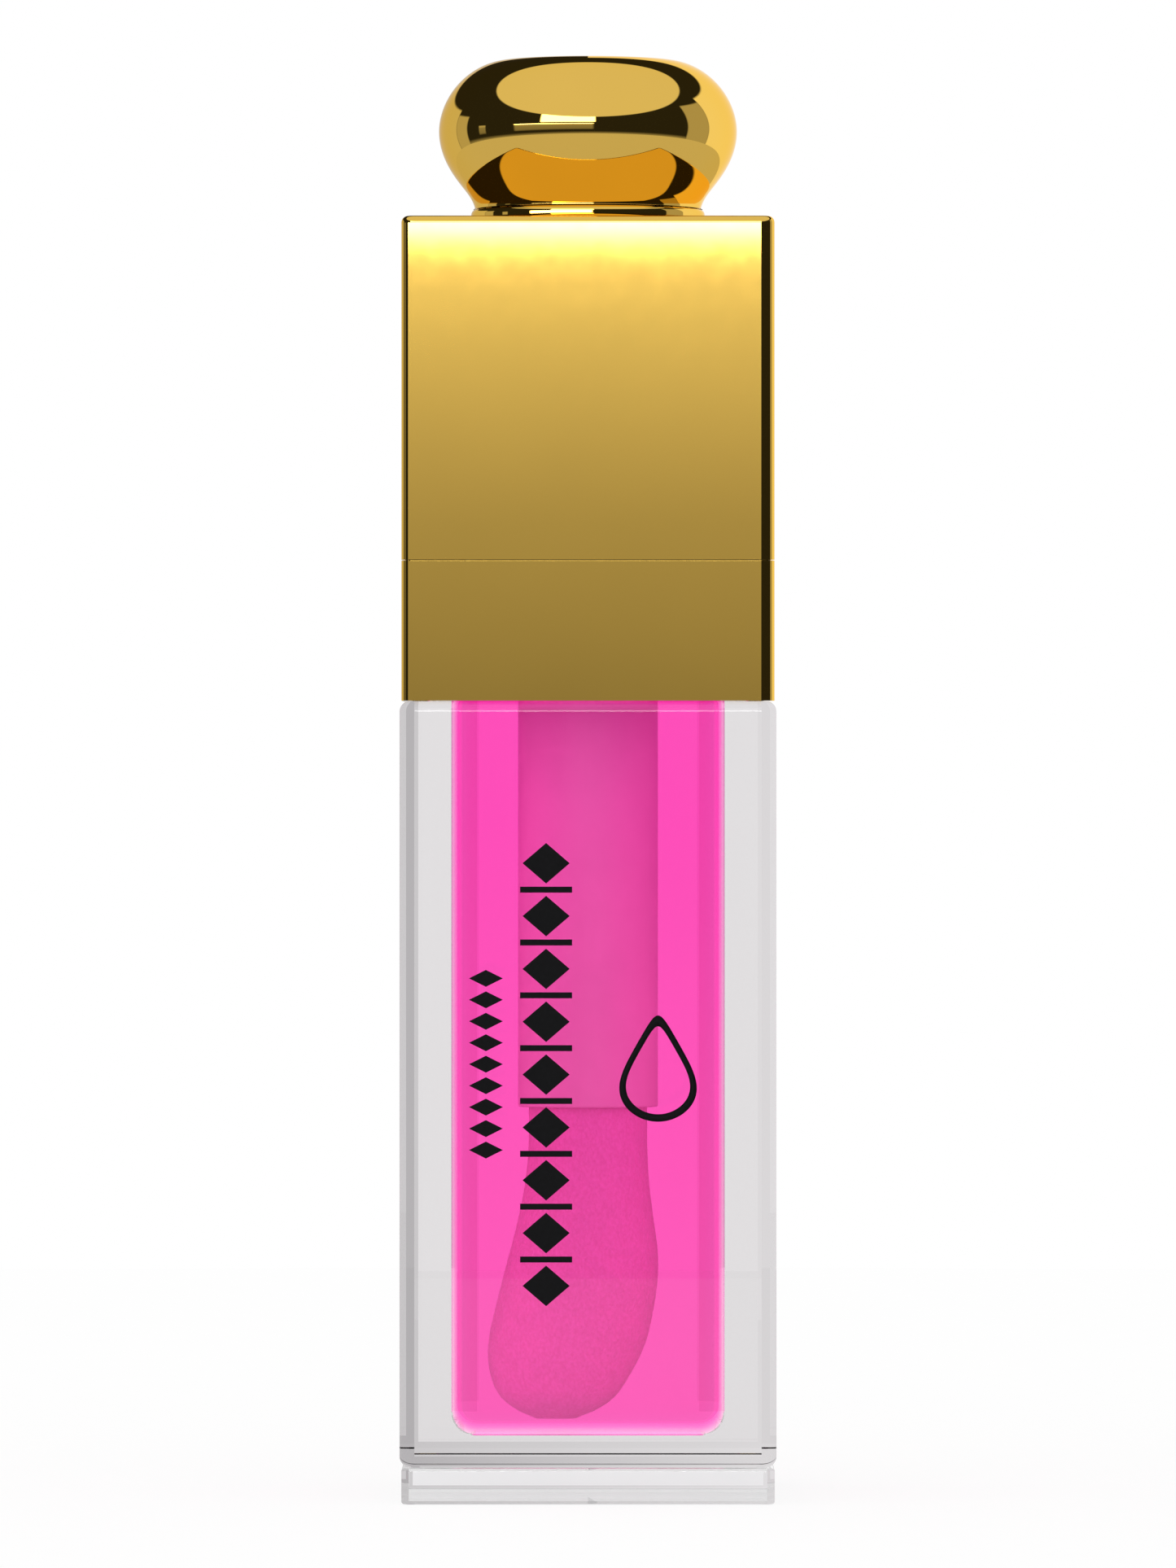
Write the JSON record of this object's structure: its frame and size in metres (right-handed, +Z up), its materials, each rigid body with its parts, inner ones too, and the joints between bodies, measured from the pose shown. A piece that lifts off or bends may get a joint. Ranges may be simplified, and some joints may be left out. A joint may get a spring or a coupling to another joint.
{
  "type": "lip gloss tube",
  "caption": "Square thick-walled clear tube of gloss with a gold collar, a gold screw cap with a round knob, and a wand with a slanted flocked tip.",
  "frame": {"origin": "centre of the base block's underside", "axes": "+Z up along the tube to the knob, +X to the right and +Y away from the printed front face"},
  "size_m": [0.02, 0.02, 0.0772],
  "materials": {
    "clear_plastic": "clear, polished",
    "gold_plastic": "metallised gold, polished",
    "gloss_liquid": "translucent glossy pink liquid",
    "natural_plastic": "natural white polypropylene",
    "stem_plastic": "pale pink, smooth",
    "tip_plastic": "soft moulded core",
    "flock": "short flocked nap, wet with gloss",
    "soft_white": "soft polyethylene",
    "steel": "plain steel"
  },
  "bodies": {
    "bottle_body": {"base_block": "clear_plastic", "bottle": "clear_plastic", "neck_insert": "natural_plastic", "wiper": "soft_white", "collar": "gold_plastic", "gloss": "gloss_liquid"},
    "pull_carrier": {"sealing_ring": "soft_white"},
    "rise_carrier": {"cap_weight": "steel"},
    "cap_and_wand": {"inner_cap": "natural_plastic", "outer_cap": "gold_plastic", "knob": "gold_plastic", "knob_post": "natural_plastic", "stem": "stem_plastic", "applicator_tip": "tip_plastic", "tip_flock": "flock"}
  },
  "joints": [
    {"name": "wand_pull", "type": "slide", "parent": "bottle_body", "child": "pull_carrier", "axis": [0, 0, 1], "range_m": [0, 0.062], "deforming": ["wiper", "gloss"]},
    {"name": "thread_rise", "type": "slide", "parent": "pull_carrier", "child": "rise_carrier", "axis": [0, 0, 1], "range_m": [0, 0.00376], "deforming": ["wiper", "gloss"]},
    {"name": "cap_turn", "type": "hinge", "parent": "rise_carrier", "child": "cap_and_wand", "pos_m": [0, 0, 0.05], "axis": [0, 0, 1], "range_deg": [0, 540], "deforming": ["wiper", "gloss"]}
  ],
  "couplings": [
    {"joint": "thread_rise", "follows": "cap_turn", "m_per_rad": 0.00039789}
  ]
}
